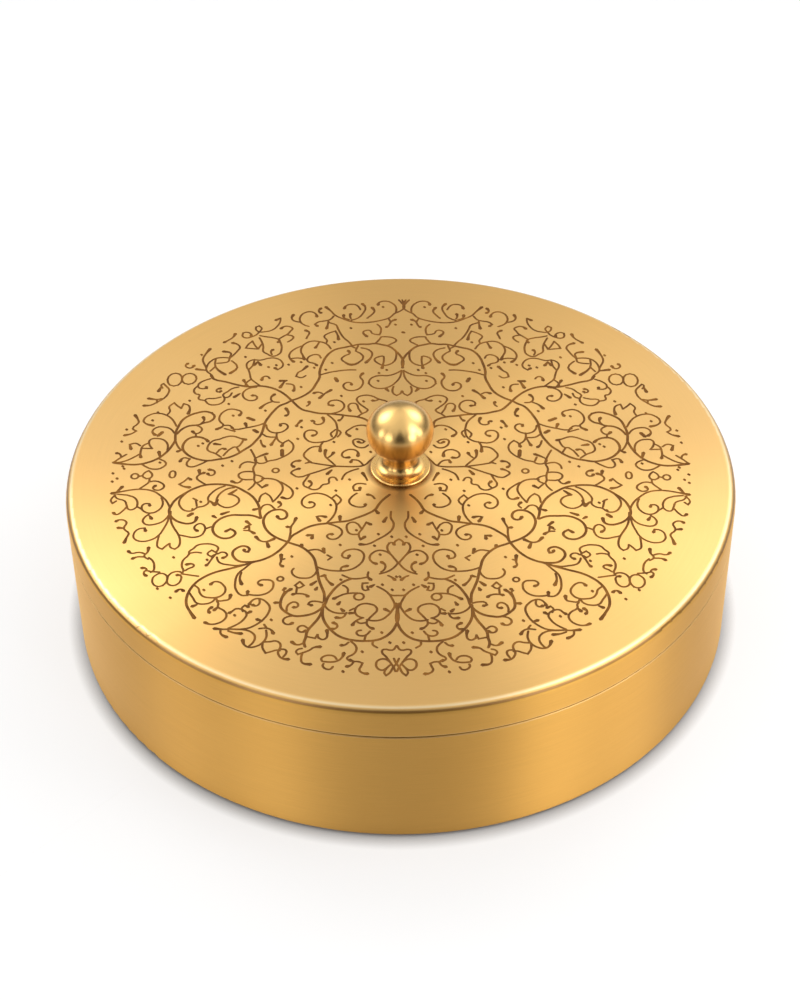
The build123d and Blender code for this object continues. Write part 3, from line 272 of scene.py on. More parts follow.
DOTS = """
6.8,82.2 2.6,72.5 -.2,68.3 17,70.6 22.1,63 32.3,52.4 36.2,51.1 22.4,52 24.3,48.5 28,49.5 42.5,49.8 40.1,50.8
5,48.4 7.4,46.8 18.9,35.1 11.9,32.4 6.9,27.8 13.6,18.7 20.4,12.5 30.6,19.6 31.5,14 7.6,42.8 31.7,39.6
42.2,27.7 9.1,7.8 64.3,56.2 50.2,55.1 53.8,31 66.1,32.6 76.7,22.8 75.4,26.7 52,25.2 60.3,11.7 61.6,10.5
85.1,12.5 84.2,18.3 50.8,3.3 53.5,1.2 72.5,2.6 83.5,.8 15.1,-5.1 12.4,-27.8 6,-29.5 2.1,-30.6 20.3,-16.7
19,-10.2 16.9,-34.2 5.3,-38.3 30.6,-39.2 30.6,-9.2 7,-34.5 58.7,-15.4 60.8,-18.8 83,-.3 86.1,-2.5 84.6,-4.9
85.9,-6.3 64.5,-39.7 54.8,-40.7 -.5,-47.6 1.6,-53 4.4,-50.9 16.2,-48.9 15.4,-61.2 1.9,-74.1 4.2,-70.2
9.4,-77.7 14.4,-85.3 35,-65.3 54.7,-53.3 45.3,-63.5 67.9,-52.8 63.9,-56.5
"""


def tree_input(group, name, kind, value=None):
    """A named input of a node group."""
    socket = group.interface.new_socket(name, in_out="INPUT", socket_type=kind)
    if value is not None:
        socket.default_value = value


def node(tree, kind, **settings):
    """One node with its settings."""
    made = tree.nodes.new(kind)
    for name, value in settings.items():
        setattr(made, name, value)
    return made


def sums(tree, operation, first, second=None, third=None, clamp=False):
    """One Math node. Its inputs are numbers or sockets."""
    made = node(tree, "ShaderNodeMath", operation=operation, use_clamp=clamp)
    for slot, value in zip(made.inputs, (first, second, third)):
        if value is None:
            continue
        if isinstance(value, bpy.types.NodeSocket):
            tree.links.new(value, slot)
        else:
            slot.default_value = value
    return made.outputs[0]


def blend(tree, amount, first, second, mode="MIX"):
    """One Mix node for colours. Its inputs are colours or sockets."""
    made = node(tree, "ShaderNodeMix", data_type="RGBA", blend_type=mode)
    for name, value in (("Factor_Float", amount), ("A_Color", first), ("B_Color", second)):
        slot = next(s for s in made.inputs if s.identifier == name)
        if isinstance(value, bpy.types.NodeSocket):
            tree.links.new(value, slot)
        else:
            slot.default_value = value if isinstance(value, float) else (*value[:3], 1)
    return next(s for s in made.outputs if s.identifier == "Result_Color")


def turned_lines_group():
    """Fine lines that run round the upright axis, as a lathe or a brush leaves them."""
    group = bpy.data.node_groups.new("turned_lines", "ShaderNodeTree")
    tree_input(group, "Streak Length", "NodeSocketFloat", 3.0)
    tree_input(group, "Lines per Metre", "NodeSocketFloat", 2500.0)
    group.interface.new_socket("Lines", in_out="OUTPUT", socket_type="NodeSocketFloat")
    tree = group
    start = node(tree, "NodeGroupInput")
    end = node(tree, "NodeGroupOutput")
    place = node(tree, "ShaderNodeTexCoord").outputs["Object"]
    split = node(tree, "ShaderNodeSeparateXYZ")
    tree.links.new(place, split.inputs[0])
    x, y, z = split.outputs
    squares = sums(tree, "ADD", sums(tree, "MULTIPLY", x, x), sums(tree, "MULTIPLY", y, y))
    radius = sums(tree, "MAXIMUM", sums(tree, "SQRT", squares), 0.1 * MM)
    across = sums(tree, "MULTIPLY", sums(tree, "ADD", radius, z), start.outputs["Lines per Metre"])
    along = node(tree, "ShaderNodeCombineXYZ")
    for side, slot in ((x, along.inputs["X"]), (y, along.inputs["Y"])):
        share = sums(tree, "DIVIDE", side, radius)
        tree.links.new(sums(tree, "MULTIPLY", share, start.outputs["Streak Length"]), slot)
    tree.links.new(across, along.inputs["Z"])
    noise = node(tree, "ShaderNodeTexNoise")
    noise.inputs["Scale"].default_value = 1.0
    noise.inputs["Detail"].default_value = 3.0
    noise.inputs["Roughness"].default_value = 0.65
    tree.links.new(along.outputs[0], noise.inputs["Vector"])
    tree.links.new(noise.outputs["Fac"], end.inputs["Lines"])
    return group


def handled_group():
    """Slow changes of tone and gloss over brass that has been handled, and short stray scratches."""
    group = bpy.data.node_groups.new("handled_brass", "ShaderNodeTree")
    tree_input(group, "Color", "NodeSocketColor", (0.8, 0.5, 0.2, 1))
    tree_input(group, "Warm Color", "NodeSocketColor", (0.7, 0.4, 0.12, 1))
    tree_input(group, "Lines", "NodeSocketFloat", 0.5)
    tree_input(group, "Line Tone", "NodeSocketFloat", 0.1)
    tree_input(group, "Roughness", "NodeSocketFloat", 0.3)
    tree_input(group, "Patch Size", "NodeSocketFloat", 14.0)
    group.interface.new_socket("Color", in_out="OUTPUT", socket_type="NodeSocketColor")
    group.interface.new_socket("Roughness", in_out="OUTPUT", socket_type="NodeSocketFloat")
    group.interface.new_socket("Height", in_out="OUTPUT", socket_type="NodeSocketFloat")
    tree = group
    start = node(tree, "NodeGroupInput")
    end = node(tree, "NodeGroupOutput")
    place = node(tree, "ShaderNodeTexCoord").outputs["Object"]
    patches = node(tree, "ShaderNodeTexNoise")
    patches.inputs["Detail"].default_value = 4.0
    tree.links.new(place, patches.inputs["Vector"])
    tree.links.new(start.outputs["Patch Size"], patches.inputs["Scale"])
    grain = node(tree, "ShaderNodeTexNoise")
    grain.inputs["Scale"].default_value = 1400.0
    grain.inputs["Detail"].default_value = 2.0
    tree.links.new(place, grain.inputs["Vector"])
    worn = sums(tree, "MULTIPLY_ADD", patches.outputs["Fac"], 1.6, -0.3, clamp=True)
    tone = blend(tree, worn, start.outputs["Color"], start.outputs["Warm Color"])
    lift = sums(tree, "SUBTRACT", start.outputs["Lines"], 0.5)
    lift = sums(tree, "MULTIPLY_ADD", lift, start.outputs["Line Tone"], 1.0)
    grey = node(tree, "ShaderNodeCombineXYZ")
    for slot in grey.inputs:
        tree.links.new(lift, slot)
    shade = blend(tree, 1.0, tone, grey.outputs[0], "MULTIPLY")
    tree.links.new(shade, end.inputs["Color"])
    gloss = sums(tree, "MULTIPLY_ADD", patches.outputs["Fac"], 0.08, -0.04)
    gloss = sums(tree, "ADD", gloss, start.outputs["Roughness"])
    gloss = sums(tree, "MULTIPLY_ADD", grain.outputs["Fac"], 0.05, sums(tree, "SUBTRACT", gloss, 0.025))
    tree.links.new(gloss, end.inputs["Roughness"])
    height = sums(tree, "MULTIPLY_ADD", grain.outputs["Fac"], 0.25, start.outputs["Lines"])
    tree.links.new(height, end.inputs["Height"])
    return group


def height_band_group():
    """A soft-edged band round a turned piece, between two heights."""
    group = bpy.data.node_groups.new("height_band", "ShaderNodeTree")
    tree_input(group, "Low", "NodeSocketFloat", 0.0)
    tree_input(group, "High", "NodeSocketFloat", 0.001)
    tree_input(group, "Softness", "NodeSocketFloat", 0.0002)
    group.interface.new_socket("Mask", in_out="OUTPUT", socket_type="NodeSocketFloat")
    tree = group
    start = node(tree, "NodeGroupInput")
    end = node(tree, "NodeGroupOutput")
    split = node(tree, "ShaderNodeSeparateXYZ")
    tree.links.new(node(tree, "ShaderNodeTexCoord").outputs["Object"], split.inputs[0])
    above_low = sums(tree, "SUBTRACT", split.outputs["Z"], start.outputs["Low"])
    below_high = sums(tree, "SUBTRACT", start.outputs["High"], split.outputs["Z"])
    over = sums(tree, "DIVIDE", above_low, start.outputs["Softness"], clamp=True)
    under = sums(tree, "DIVIDE", below_high, start.outputs["Softness"], clamp=True)
    tree.links.new(sums(tree, "MULTIPLY", over, under), end.inputs["Mask"])
    return group


def middle_disc_group():
    """A soft-edged disc round the upright axis."""
    group = bpy.data.node_groups.new("middle_disc", "ShaderNodeTree")
    tree_input(group, "Radius", "NodeSocketFloat", 0.01)
    tree_input(group, "Softness", "NodeSocketFloat", 0.001)
    group.interface.new_socket("Mask", in_out="OUTPUT", socket_type="NodeSocketFloat")
    tree = group
    start = node(tree, "NodeGroupInput")
    end = node(tree, "NodeGroupOutput")
    flat = node(tree, "ShaderNodeVectorMath", operation="MULTIPLY")
    tree.links.new(node(tree, "ShaderNodeTexCoord").outputs["Object"], flat.inputs[0])
    flat.inputs[1].default_value = (1, 1, 0)
    out = node(tree, "ShaderNodeVectorMath", operation="LENGTH")
    tree.links.new(flat.outputs[0], out.inputs[0])
    inside = sums(tree, "SUBTRACT", start.outputs["Radius"], out.outputs["Value"])
    mask = sums(tree, "DIVIDE", inside, start.outputs["Softness"], clamp=True)
    tree.links.new(mask, end.inputs["Mask"])
    return group


turned_lines = turned_lines_group()
middle_disc = middle_disc_group()
height_band = height_band_group()
handled_brass = handled_group()

BRUSH_DEPTH = 0.05 * MM
BAND_SOFTNESS = 0.35
LACQUER_ROUGHNESS = 0.25
QUARTER_TURN = 0.25


def brass(name, color, warm, roughness, streak=3.0, lines=2500.0, line_tone=0.1, bump=0.1, spun=0.0,
          coat=0.0, patch=14.0, bands=()):
    """Brass with its own tone, gloss, brushing and wear.

    spun is how far the brushing stretches reflections. Each band is (low, high, colour, how much of it),
    where a painted highlight or a painted shade line lies round the piece.
    where handling has polished an edge or left tarnish beside it.
    """
    made = bpy.data.materials.new(name)
    made.use_nodes = True
    tree = made.node_tree
    shader = tree.nodes["Principled BSDF"]
    brushed = node(tree, "ShaderNodeGroup")
    brushed.node_tree = turned_lines
    brushed.inputs["Streak Length"].default_value = streak
    brushed.inputs["Lines per Metre"].default_value = lines
    handled = node(tree, "ShaderNodeGroup")
    handled.node_tree = handled_brass
    handled.inputs["Color"].default_value = (*color, 1)
    handled.inputs["Warm Color"].default_value = (*warm, 1)
    handled.inputs["Line Tone"].default_value = line_tone
    handled.inputs["Roughness"].default_value = roughness
    handled.inputs["Patch Size"].default_value = patch
    tree.links.new(brushed.outputs["Lines"], handled.inputs["Lines"])
    tone = handled.outputs["Color"]
    # Each band paints a highlight or a shade line into the colour between two heights.
    for low, high, band_color, share in bands:
        band = node(tree, "ShaderNodeGroup")
        band.node_tree = height_band
        band.inputs["Low"].default_value = low
        band.inputs["High"].default_value = high
        band.inputs["Softness"].default_value = (high - low) * BAND_SOFTNESS
        tone = blend(tree, sums(tree, "MULTIPLY", band.outputs["Mask"], share), tone, band_color)
    tree.links.new(tone, shader.inputs["Base Color"])
    tree.links.new(handled.outputs["Roughness"], shader.inputs["Roughness"])
    relief = node(tree, "ShaderNodeBump")
    relief.inputs["Strength"].default_value = bump
    relief.inputs["Distance"].default_value = BRUSH_DEPTH
    tree.links.new(handled.outputs["Height"], relief.inputs["Height"])
    tree.links.new(relief.outputs["Normal"], shader.inputs["Normal"])
    shader.inputs["Metallic"].default_value = 1.0
    shader.inputs["Anisotropic"].default_value = spun
    shader.inputs["Coat Weight"].default_value = coat
    shader.inputs["Coat Roughness"].default_value = LACQUER_ROUGHNESS
    if spun:
        around = node(tree, "ShaderNodeTangent", direction_type="RADIAL", axis="Z")
        tree.links.new(around.outputs[0], shader.inputs["Tangent"])
        shader.inputs["Anisotropic Rotation"].default_value = QUARTER_TURN
    return made


GOLD = (0.77, 0.475, 0.16)
WARM_GOLD = (0.73, 0.425, 0.12)
WALL_GOLD = (0.72, 0.405, 0.095)
WARM_WALL_GOLD = (0.68, 0.37, 0.08)
# Painted highlight: pale lines along the lid's shoulder and beside the seam.
PAINTED_EDGE_HIGHLIGHT = (0.95, 0.80, 0.50)
# Painted shade: darker at the pan's bottom and over the knob's neck and lower ball.
PAINTED_LOW_SHADE = (0.33, 0.16, 0.04)
SHADE_LINE = (0.22, 0.10, 0.02)
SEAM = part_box("base_pan")[1].z
BALL_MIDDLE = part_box("knob")[1].z - 10 * MM

engraved_lid = brass(
    "engraved_lid_brass", GOLD, WARM_GOLD, 0.42, streak=5, lines=2600, line_tone=0.10, bump=0.06,
    spun=0.85, coat=0.6,
    bands=[
        # A painted highlight along the shoulder, and a painted shade line just below it.
        (LID_TOP - 0.45 * MM, LID_TOP - 0.01 * MM, PAINTED_EDGE_HIGHLIGHT, 0.6),
        (LID_TOP - 1.5 * MM, LID_TOP - 0.5 * MM, SHADE_LINE, 0.85),
    ],
)


def paint_shadow_round_plate(made):
    """Painted shadow on the lid close round the knob's plate, where the plate's contact shadow falls."""
    tree = made.node_tree
    slot = tree.nodes["Principled BSDF"].inputs["Base Color"]
    unshadowed = slot.links[0].from_socket
    disc = node(tree, "ShaderNodeGroup")
    disc.node_tree = middle_disc
    disc.inputs["Radius"].default_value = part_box("knob_plate")[1].x + 1.6 * MM
    disc.inputs["Softness"].default_value = 1.5 * MM
    share = sums(tree, "MULTIPLY", disc.outputs["Mask"], 0.9)
    tree.links.new(blend(tree, share, unshadowed, SHADE_LINE), slot)


paint_shadow_round_plate(engraved_lid)
brushed_skirt = brass(
    "brushed_skirt_brass", WALL_GOLD, WARM_WALL_GOLD, 0.5, streak=7, lines=4200, line_tone=0.16, bump=0.08,
    spun=0.95, coat=0.15,
    bands=[
        # A painted shade line under the shoulder, a painted highlight above the seam, and painted shade in
        # the seam.
        (LID_TOP - 1.5 * MM, LID_TOP - 0.5 * MM, SHADE_LINE, 0.85),
        (SEAM + 0.35 * MM, SEAM + 0.7 * MM, PAINTED_EDGE_HIGHLIGHT, 0.2),
        (SEAM - 0.1 * MM, SEAM + 0.35 * MM, SHADE_LINE, 0.8),
    ],
)
brushed_pan = brass(
    "brushed_pan_brass", WALL_GOLD, WARM_WALL_GOLD, 0.5, streak=7, lines=4200, line_tone=0.16, bump=0.08,
    spun=0.95, coat=0.15,
    bands=[
        # A painted highlight under the seam, painted shade in the seam, and painted shade over the pan's
        # lowest millimetre.
        (SEAM - 0.5 * MM, SEAM - 0.2 * MM, PAINTED_EDGE_HIGHLIGHT, 0.3),
        (SEAM - 0.2 * MM, SEAM + 0.1 * MM, SHADE_LINE, 0.9),
        (-0.1 * MM, 1.1 * MM, PAINTED_LOW_SHADE, 0.7),
    ],
)
satin_plate = brass(
    "satin_plate_brass", GOLD, WARM_GOLD, 0.28, lines=4000, spun=0.6, coat=0.3,
    # Painted shade along the plate's edge.
    bands=[(LID_TOP - 0.1 * MM, LID_TOP + 0.9 * MM, SHADE_LINE, 0.9)],
)
polished_knob = brass(
    "polished_knob_brass", (0.80, 0.52, 0.19), (0.76, 0.47, 0.16), 0.26, lines=5000, line_tone=0.04,
    bump=0.02, spun=0.68, coat=0.05,
    # Painted shade over the foot, the neck and the ball up to just above its middle.
    bands=[(LID_TOP, BALL_MIDDLE + 5 * MM, PAINTED_LOW_SHADE, 0.75)],
)
plain_turned = brass(
    "plain_turned_brass", (0.62, 0.37, 0.12), (0.55, 0.31, 0.09), 0.33, lines=3500, spun=0.6,
)
bowl_brass = brass(
    "spun_bowl_brass", (0.70, 0.415, 0.12), (0.64, 0.36, 0.09), 0.30, line_tone=0.15, bump=0.1, spun=0.6,
)
spoon_brass = brass("polished_spoon_brass", (0.70, 0.42, 0.13), (0.64, 0.37, 0.10), 0.20, bump=0.05)


def graver_cut_material():
    """The bottoms of the cuts: dark brown wax and tarnish, thinner in places so that brass shows through."""
    made = bpy.data.materials.new("graver_cut_patina")
    made.use_nodes = True
    tree = made.node_tree
    shader = tree.nodes["Principled BSDF"]
    place = node(tree, "ShaderNodeTexCoord").outputs["Object"]
    patches = node(tree, "ShaderNodeTexNoise")
    patches.inputs["Scale"].default_value = 260.0
    patches.inputs["Detail"].default_value = 3.0
    tree.links.new(place, patches.inputs["Vector"])
    thin = sums(tree, "MULTIPLY_ADD", patches.outputs["Fac"], 2.4, -0.9, clamp=True)
    tone = blend(tree, thin, (0.125, 0.048, 0.008), (0.28, 0.12, 0.022))
    tree.links.new(tone, shader.inputs["Base Color"])
    metal = sums(tree, "MULTIPLY_ADD", thin, 0.5, 0.25)
    tree.links.new(metal, shader.inputs["Metallic"])
    rough = sums(tree, "MULTIPLY_ADD", patches.outputs["Fac"], 0.2, 0.42)
    tree.links.new(rough, shader.inputs["Roughness"])
    shader.inputs["Specular IOR Level"].default_value = 0.12
    return made


graver_cut = graver_cut_material()


def strokes_of(text):
    """The drawing's strokes, each a list of (x, y, is it a drop)."""
    strokes = []
    for stroke in text.replace("\n", " ").split(";"):
        points = []
        for word in stroke.split():
            if word.startswith("o"):
                x, y, wide, deep = (float(v) for v in word[1:].split(","))
                points = [("ring", x, y, wide, deep)]
                break
            x, y = (float(v) for v in word.rstrip("*").split(","))
            points.append((x, y, word.endswith("*")))
        if points:
            strokes.append(points)
    return strokes


def past_the_end(end, before, tip):
    """A point just past a stroke's end, where the cut runs out to the given half width."""
    run = math.hypot(end[0] - before[0], end[1] - before[1])
    reach = end[2] * RUN_OUT / run
    return (end[0] + (end[0] - before[0]) * reach, end[1] + (end[1] - before[1]) * reach, tip)


def add_cut(curve, points, closed=False, raised=EVEN_PUSH):
    """One push of the graver: points are (x, y, half width), in millimetres, before the drawing turns."""
    spline = curve.splines.new("BEZIER")
    spline.use_cyclic_u = closed
    spline.bezier_points.add(len(points) - 1)
    for knot, (x, y, half) in zip(spline.bezier_points, points):
        turned = Vector((x, y)) @ Matrix.Rotation(-DRAWING_TURN, 2)
        knot.co = (turned.x * MM, turned.y * MM, LID_TOP + raised * MM)
        knot.radius = half
        knot.handle_left_type = knot.handle_right_type = "AUTO"


def along(first, second):
    """Five places along a straight step of a stroke."""
    return [Vector(first[:2]).lerp(Vector(second[:2]), i / 4) for i in range(5)]


def single_pushes(points):
    """A stroke, cut in two where it comes back to itself or turns a sharp corner.

    A graver is lifted there too.
    """
    for i in range(len(points) - 2):
        ahead = Vector(points[i + 1][:2]) - Vector(points[i][:2])
        after = Vector(points[i + 2][:2]) - Vector(points[i + 1][:2])
        if ahead.angle(after) > SHARP_CORNER:
            return single_pushes(points[:i + 2]) + single_pushes(points[i + 1:])
        for j in range(i + 2, len(points) - 1):
            here, there = along(points[i], points[i + 1]), along(points[j], points[j + 1])
            if min((a - b).length for a in here for b in there) < CLOSE_CUTS:
                middle = (i + j + 1) // 2
                return single_pushes(points[:middle + 1]) + single_pushes(points[middle:])
    return [points]


def draw_cuts(curve, text, half):
    """Cuts every stroke of a drawing on the right half of the lid, and turned over on the left."""
    for stroke in strokes_of(text):
        for side in (1, -1):
            if stroke[0][0] == "ring":
                _, x, y, wide, deep = stroke[0]
                turn = [math.radians(90 * i) for i in range(4)]
                ring = [(side * x + wide * math.cos(a), y + deep * math.sin(a), half) for a in turn]
                add_cut(curve, ring, closed=True)
                continue
            points = [(side * x, y, DROP_CUT if drop else half) for x, y, drop in stroke]
            pushes = single_pushes(points)
            for number, push in enumerate(pushes):
                first_tip = STROKE_TIP if push is pushes[0] else push[0][2]
                last_tip = STROKE_TIP if push is pushes[-1] else push[-1][2]
                first = past_the_end(push[0], push[1], first_tip)
                last = past_the_end(push[-1], push[-2], last_tip)
                raised = ODD_PUSH if number % 2 else EVEN_PUSH
                add_cut(curve, [first, *push, last], raised=raised)


def graver_cuts():
    """Every stroke as a thin round bar that lies half in the lid, flattened to the depth of the cut."""
    curve = bpy.data.curves.new("graver_cuts", "CURVE")
    curve.dimensions = "3D"
    curve.resolution_u = 3
    curve.bevel_depth = MM
    curve.bevel_resolution = 1
    curve.use_fill_caps = True
    curve.twist_mode = "Z_UP"
    draw_cuts(curve, VINES, VINE_CUT)
    draw_cuts(curve, FINE, FINE_CUT)
    for word in DOTS.split():
        x, y = (float(v) for v in word.split(","))
        for side in (x, -x):
            pecked = [(-0.45, -0.1, 0.2), (-0.15, 0, 0.6), (0.15, 0, 0.6), (0.45, 0.1, 0.2)]
            add_cut(curve, [(side + dx, y + dy, half) for dx, dy, half in pecked])
    bars = bpy.data.objects.new("graver_cuts", curve)
    bpy.context.collection.objects.link(bars)
    bpy.context.view_layer.objects.active = bars
    bars.select_set(True)
    bpy.ops.object.convert(target="MESH")
    bars = bpy.context.view_layer.objects.active
    bpy.ops.object.mode_set(mode="EDIT")
    bpy.ops.mesh.select_all(action="SELECT")
    bpy.ops.mesh.remove_doubles(threshold=1e-7)
    bpy.ops.transform.resize(value=(1, 1, GROOVE_DEPTH), center_override=(0, 0, LID_TOP))
    bpy.ops.mesh.normals_make_consistent(inside=False)
    bpy.ops.mesh.separate(type="LOOSE")
    bpy.ops.object.mode_set(mode="OBJECT")
    strokes = bpy.data.collections.new("graver_cuts")
    bpy.context.scene.collection.children.link(strokes)
    for bar in list(bpy.context.selected_objects):
        bpy.context.collection.objects.unlink(bar)
        strokes.objects.link(bar)
    bpy.ops.object.select_all(action="DESELECT")
    return strokes


DRAWING_EDGE = 95 * MM
DEEPEST_CUT = LID_TOP - 0.8 * MM
SKIRT_INSIDE = 98.5 * MM
SHOULDER_FOOT = LID_TOP - 1.2 * MM
SOFT_EDGE = math.radians(28)


def engraved_lid_piece():
    """The lid with its scrolls cut into the top."""
    lid = bpy.data.objects.new("lid_engraved", nodes["lid_cap"].data.copy())
    bpy.context.collection.objects.link(lid)
    strokes = graver_cuts()
    bpy.context.view_layer.objects.active = lid
    lid.select_set(True)
    bpy.ops.object.mode_set(mode="EDIT")
    bpy.ops.mesh.select_all(action="SELECT")
    bpy.ops.mesh.remove_doubles(threshold=1e-6)
    bpy.ops.mesh.customdata_custom_splitnormals_clear()
    bpy.ops.object.mode_set(mode="OBJECT")
    cut = lid.modifiers.new("engrave", "BOOLEAN")
    cut.operation = "DIFFERENCE"
    cut.solver = "MANIFOLD"
    cut.operand_type = "COLLECTION"
    cut.collection = strokes
    bpy.ops.object.modifier_apply(modifier=cut.name)
    for bar in list(strokes.objects):
        bpy.data.objects.remove(bar)
    bpy.data.collections.remove(strokes)
    lid.data.materials.clear()
    lid.data.materials.append(engraved_lid)
    lid.data.materials.append(graver_cut)
    lid.data.materials.append(brushed_skirt)
    for face in lid.data.polygons:
        low = min(lid.data.vertices[v].co.z for v in face.vertices)
        out = face.center.xy.length
        faces_out = face.normal.xy.dot(face.center.xy) > 0
        if out < DRAWING_EDGE and DEEPEST_CUT < low < LID_TOP - 0.005 * MM:
            face.material_index = 1
        elif out > SKIRT_INSIDE and faces_out and face.center.z < SHOULDER_FOOT:
            face.material_index = 2
    bpy.ops.object.shade_smooth_by_angle(angle=SOFT_EDGE)
    evened = lid.modifiers.new("evened", "WEIGHTED_NORMAL")
    evened.keep_sharp = True
    bpy.ops.object.modifier_apply(modifier=evened.name)
    lid.select_set(False)
    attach(lid, "lid")
    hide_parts("lid_cap")
    return lid


lid_piece = engraved_lid_piece()

FINISHES = {
    "base_pan": brushed_pan,
    "base_collar": plain_turned,
    "knob_plate": satin_plate,
    "knob": polished_knob,
    "knob_washer": plain_turned,
    "knob_screw": plain_turned,
    "spoon": spoon_brass,
}
for name, ob in nodes.items():
    ob.data.materials.clear()
    ob.data.materials.append(FINISHES.get(name, bowl_brass))


FLOOR_PALENESS = 0.62
CONTACT_SHADOW = 5 * MM


def floor_paper():
    """Pale paper that keeps the box's shadow. The camera and the brass see it paler than it is lit, and
    darker close to the box by ambient occlusion: a painted contact shadow.
    """
    paper = bpy.data.materials.new("pale_paper")
    paper.use_nodes = True
    tree = paper.node_tree
    shader = tree.nodes["Principled BSDF"]
    shader.inputs["Base Color"].default_value = (0.86, 0.86, 0.86, 1)
    shader.inputs["Roughness"].default_value = 0.9
    shader.inputs["Specular IOR Level"].default_value = 0.1
    painted_contact_shadow = node(tree, "ShaderNodeAmbientOcclusion", samples=8)
    painted_contact_shadow.inputs["Distance"].default_value = CONTACT_SHADOW
    pale = node(tree, "ShaderNodeEmission")
    tree.links.new(sums(tree, "POWER", painted_contact_shadow.outputs["AO"], 2.0), pale.inputs["Color"])
    ray = node(tree, "ShaderNodeLightPath")
    seen = sums(tree, "MAXIMUM", ray.outputs["Is Camera Ray"], ray.outputs["Is Glossy Ray"])
    seen = sums(tree, "MAXIMUM", seen, ray.outputs["Is Transmission Ray"])
    mixed = node(tree, "ShaderNodeMixShader")
    tree.links.new(sums(tree, "MULTIPLY", seen, FLOOR_PALENESS), mixed.inputs[0])
    tree.links.new(shader.outputs[0], mixed.inputs[1])
    tree.links.new(pale.outputs[0], mixed.inputs[2])
    tree.links.new(mixed.outputs[0], tree.nodes["Material Output"].inputs["Surface"])
    return paper


# The studio: a white tent, darker low down, with soft glows. Each glow is where it stands, the angles where
# it starts to fade and where it ends, and how bright it is. One that is less than nothing is a black flag.
TENT_LOW = 0.31
TENT_TOP = 0.95
GLOWS = [
    ((0.50, 0.53, 0.68), 10, 42, 0.25),
    ((0.72, -0.05, 0.69), 10, 40, 0.25),
    ((0.656, -0.679, 0.33), 4, 16, 4.6),
    ((0.912, -0.244, 0.33), 3, 14, 3.4),
    ((-0.56, 0.37, 0.74), 10, 45, 0.30),
    ((-0.613, -0.718, 0.33), 4, 17, 3.2),
    ((-0.89, -0.315, 0.33), 3, 14, 3.2),
    ((0.45, 0.74, 0.50), 5, 24, 0.9),
    ((-0.45, 0.74, 0.50), 5, 24, 0.8),
    ((0.80, 0.56, 0.05), 8, 38, -0.28),
    ((-0.80, 0.56, 0.05), 8, 38, -0.28),
]
# The lamps: where each stands from the knob's ball, how far off, how wide, and how bright at its middle.
SOFT_LAMPS = {
    "lamp_right_front": ((0.66, -0.34, 0.67), 0.34, 0.27, 4.4),
    "lamp_right_back": ((0.58, 0.47, 0.67), 0.38, 0.32, 3.5),
    "lamp_left_back": ((-0.58, 0.42, 0.70), 0.40, 0.34, 4.4),
}
# The dark wedge: how far it reaches sideways and up, how sharp its edge is, and how much light it takes.
WEDGE_HALF_WIDTH = 0.35
WEDGE_TOP = 0.84
WEDGE_SHARPNESS = 18.0
WEDGE_DARKNESS = 0.97


def tent_light():
    """The light from every side, as one world: the tent, its glows, and a dark wedge round the camera."""
    world = bpy.data.worlds.new("white_tent")
    world.use_nodes = True
    tree = world.node_tree
    toward = node(tree, "ShaderNodeTexCoord").outputs["Generated"]
    split = node(tree, "ShaderNodeSeparateXYZ")
    tree.links.new(toward, split.inputs[0])
    x, y, z = split.outputs
    rise = node(tree, "ShaderNodeMapRange", interpolation_type="SMOOTHSTEP")
    tree.links.new(z, rise.inputs["Value"])
    for name, value in (("From Min", 0.40), ("From Max", 0.90), ("To Min", TENT_LOW), ("To Max", TENT_TOP)):
        rise.inputs[name].default_value = value
    light = rise.outputs[0]
    for place, full, end, strength in GLOWS:
        turn = node(tree, "ShaderNodeVectorMath", operation="DOT_PRODUCT")
        tree.links.new(toward, turn.inputs[0])
        turn.inputs[1].default_value = Vector(place).normalized()
        lamp = node(tree, "ShaderNodeMapRange", interpolation_type="SMOOTHSTEP")
        tree.links.new(turn.outputs["Value"], lamp.inputs["Value"])
        lamp.inputs["From Min"].default_value = math.cos(math.radians(end))
        lamp.inputs["From Max"].default_value = math.cos(math.radians(full))
        lamp.inputs["To Max"].default_value = strength
        light = sums(tree, "ADD", light, lamp.outputs[0])
    ahead = sums(tree, "MAXIMUM", sums(tree, "MULTIPLY", y, -1.0), 0.001)
    sideways = sums(tree, "DIVIDE", sums(tree, "ABSOLUTE", x), ahead)
    height_squared = sums(tree, "MULTIPLY", z, z)
    left_of_height = sums(tree, "MULTIPLY_ADD", height_squared, -1 / WEDGE_TOP**2, 1.0, clamp=True)
    width = sums(tree, "MULTIPLY", sums(tree, "SQRT", left_of_height), WEDGE_HALF_WIDTH)
    wedge = sums(tree, "MULTIPLY", sums(tree, "SUBTRACT", width, sideways), WEDGE_SHARPNESS, clamp=True)
    open_part = sums(tree, "MULTIPLY_ADD", wedge, -WEDGE_DARKNESS, 1.0)
    tree.links.new(sums(tree, "MULTIPLY", light, open_part), tree.nodes["Background"].inputs["Strength"])
    tree.nodes["Background"].inputs["Color"].default_value = (1, 1, 1, 1)
    return world


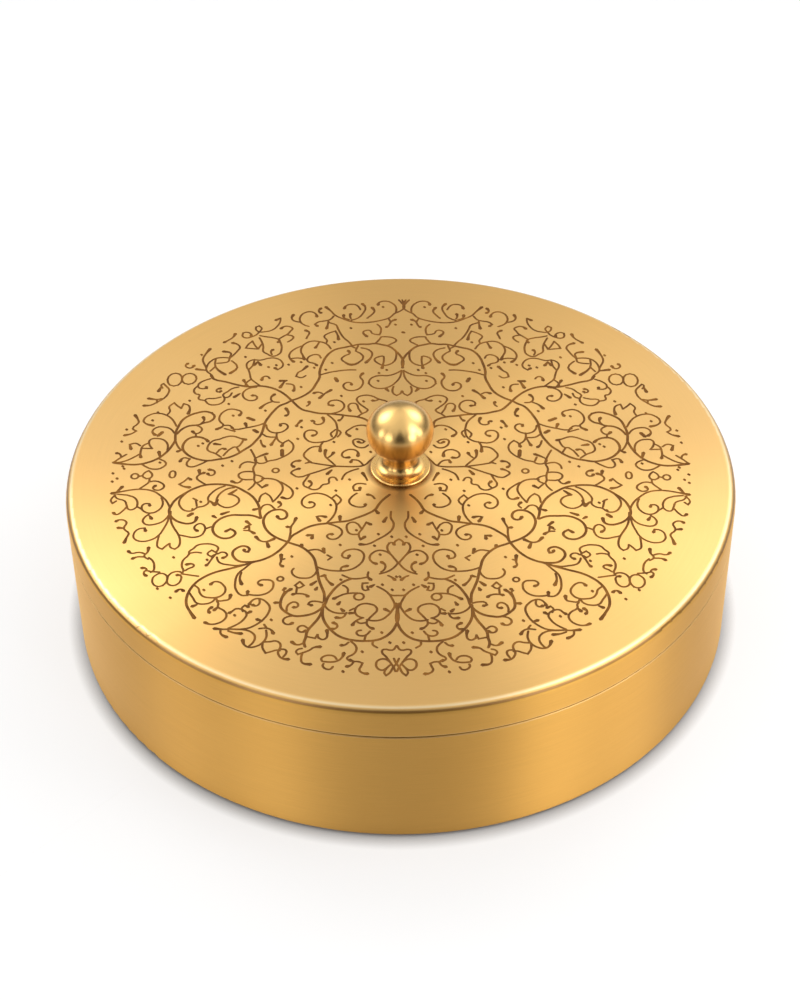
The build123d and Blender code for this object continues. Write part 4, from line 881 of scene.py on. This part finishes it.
def add_soft_lamp(name, toward, away, wide, brightness):
    """A square lamp that fades out towards its edges, facing the knob's ball."""
    light = bpy.data.lights.new(name, "AREA")
    light.size = wide
    light.energy = math.pi * wide * wide
    light.use_nodes = True
    tree = light.node_tree
    middle = node(tree, "ShaderNodeVectorMath", operation="SUBTRACT")
    tree.links.new(node(tree, "ShaderNodeNewGeometry").outputs["Parametric"], middle.inputs[0])
    middle.inputs[1].default_value = (0.5, 0.5, 0)
    out = node(tree, "ShaderNodeVectorMath", operation="LENGTH")
    tree.links.new(middle.outputs[0], out.inputs[0])
    fade = node(tree, "ShaderNodeMapRange", interpolation_type="SMOOTHSTEP")
    tree.links.new(out.outputs["Value"], fade.inputs["Value"])
    for socket, value in (("From Min", 0.5), ("From Max", 0.06), ("To Min", 0.0), ("To Max", brightness)):
        fade.inputs[socket].default_value = value
    tree.links.new(fade.outputs[0], tree.nodes["Emission"].inputs["Strength"])
    lamp = bpy.data.objects.new(name, light)
    bpy.context.collection.objects.link(lamp)
    direction = Vector(toward).normalized()
    lamp.location = direction * away + BALL
    lamp.rotation_euler = direction.to_track_quat("Z", "Y").to_euler()
    lamp.visible_camera = False


BALL = sum(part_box("knob"), Vector()) / 2
for name, settings in SOFT_LAMPS.items():
    add_soft_lamp(name, *settings)

bpy.ops.mesh.primitive_plane_add(size=40, location=(0, 0, 0))
floor = bpy.context.object
floor.name = "floor"
floor.data.materials.append(floor_paper())
bpy.context.scene.world = tent_light()

CAMERA_PLACE = (0.0, -0.50545, 0.47717)
CAMERA_TILT = math.radians(49.061)
CAMERA_ROLL = math.radians(-0.658)
camera_data = bpy.data.cameras.new("camera")
camera_data.lens = 79.357
camera_data.sensor_width = 36.0
camera_data.shift_x = -0.0008
camera = bpy.data.objects.new("camera", camera_data)
bpy.context.collection.objects.link(camera)
tilt = Matrix.Rotation(CAMERA_TILT, 4, "X")
roll = Matrix.Rotation(CAMERA_ROLL, 4, "Z")
camera.matrix_world = Matrix.Translation(CAMERA_PLACE) @ tilt @ roll
bpy.context.scene.camera = camera
bpy.context.scene.view_settings.view_transform = "Standard"
